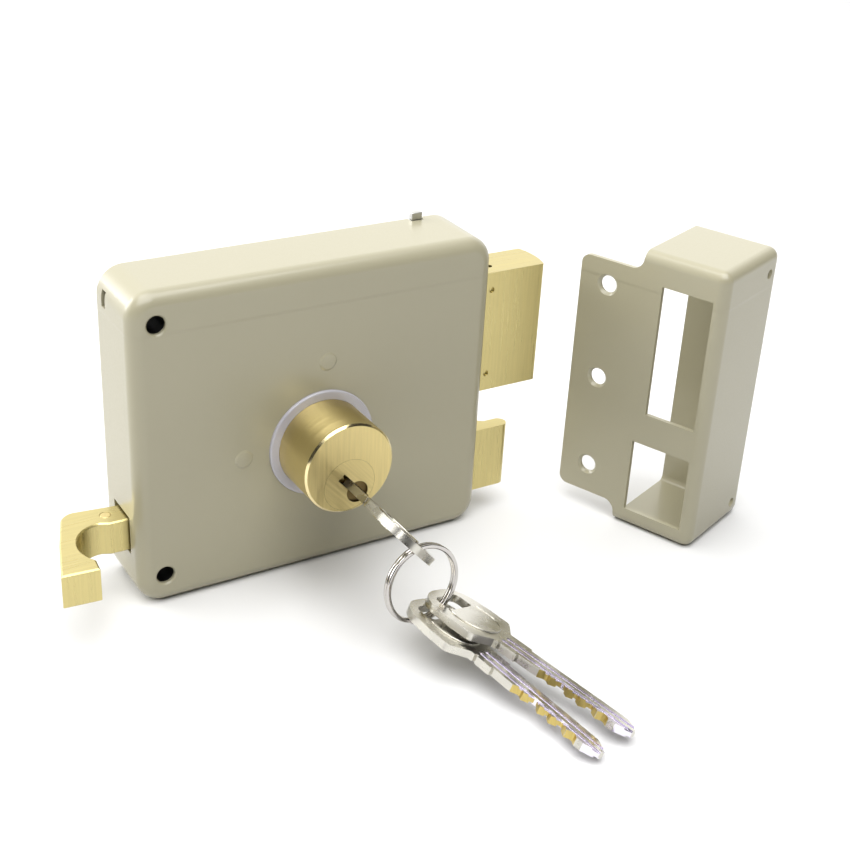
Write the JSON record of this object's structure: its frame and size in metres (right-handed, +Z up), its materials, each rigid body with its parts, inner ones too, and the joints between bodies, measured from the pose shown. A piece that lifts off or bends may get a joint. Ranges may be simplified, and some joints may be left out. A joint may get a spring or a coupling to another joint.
{
  "type": "rim box lock",
  "caption": "Surface-mounted box lock with a key cylinder, deadbolt, sprung latch with a hooked pull, its folded keeper, and keys on a split ring.",
  "frame": {"origin": "axis of the cylinder in the plane of the door face, at the hole for an outer cylinder in the base plate", "axes": "+X towards the bolts and the keeper, +Y from the room into the door, +Z up"},
  "size_m": [0.2285, 0.1441, 0.1023],
  "materials": {
    "case_paint": "gloss",
    "zinc_steel": "satin",
    "spring_steel": "satin",
    "satin_brass": "satin",
    "bright_brass": "polished",
    "milky_plastic": "gloss",
    "nickel": "satin",
    "nickel_wire": "polished"
  },
  "bodies": {
    "case": {"case_cover": "case_paint", "base_plate": "zinc_steel", "screw_tubes": "zinc_steel", "cover_post": "case_paint", "cover_stud": "case_paint", "bolt_guides": "zinc_steel", "cylinder_body": "satin_brass", "driver_pins": "bright_brass", "pin_springs": "spring_steel", "cylinder_spacers": "zinc_steel", "cylinder_screws": "zinc_steel", "collar": "milky_plastic", "bar_guide": "zinc_steel", "latch_spring": "spring_steel", "keeper_box": "case_paint"},
    "deadbolt": {"deadbolt_head": "satin_brass", "deadbolt_tail": "zinc_steel", "deadbolt_rivets": "zinc_steel"},
    "latch": {"latch_head": "satin_brass", "latch_bar": "zinc_steel", "latch_pin": "bright_brass", "pull_hook": "satin_brass", "pull_pin": "bright_brass"},
    "plug_and_key": {"plug": "satin_brass", "key_pins": "bright_brass", "plug_clip": "spring_steel", "pinion": "spring_steel", "key_in_lock": "nickel"},
    "ring": {"split_ring": "nickel_wire"},
    "spare_a": {"spare_key_a": "nickel"},
    "spare_b": {"spare_key_b": "nickel"}
  },
  "joints": [
    {"name": "key_turn", "type": "hinge", "parent": "case", "child": "plug_and_key", "pos_m": [0, -0.02, -0.00535], "axis": [0, -1, 0], "range_deg": [-42, 318]},
    {"name": "deadbolt_slide", "type": "slide", "parent": "case", "child": "deadbolt", "axis": [1, 0, 0], "range_m": [-0.0221, 0.0029]},
    {"name": "latch_slide", "type": "slide", "parent": "case", "child": "latch", "axis": [1, 0, 0], "range_m": [-0.0125, 0], "stiffness_N_per_m": 250, "springref_m": 0.012, "deforming": ["latch_spring"]},
    {"name": "ring_swing", "type": "hinge", "parent": "plug_and_key", "child": "ring", "pos_m": [0.0046, -0.0776, -0.0094], "axis": [0, 1, 0], "range_deg": [-6, 2]},
    {"name": "spare_a_swing", "type": "hinge", "parent": "ring", "child": "spare_a", "pos_m": [0.0139, -0.0789, -0.0274], "axis": [-0.9537, -0.3007, 0], "range_deg": [0, 4]},
    {"name": "spare_b_swing", "type": "hinge", "parent": "ring", "child": "spare_b", "pos_m": [0.0095, -0.079, -0.031], "axis": [-0.9774, -0.2113, 0], "range_deg": [-3, 0]}
  ],
  "couplings": [
    {"joint": "key_turn", "follows": "deadbolt_slide", "rad_per_m": -250}
  ]
}
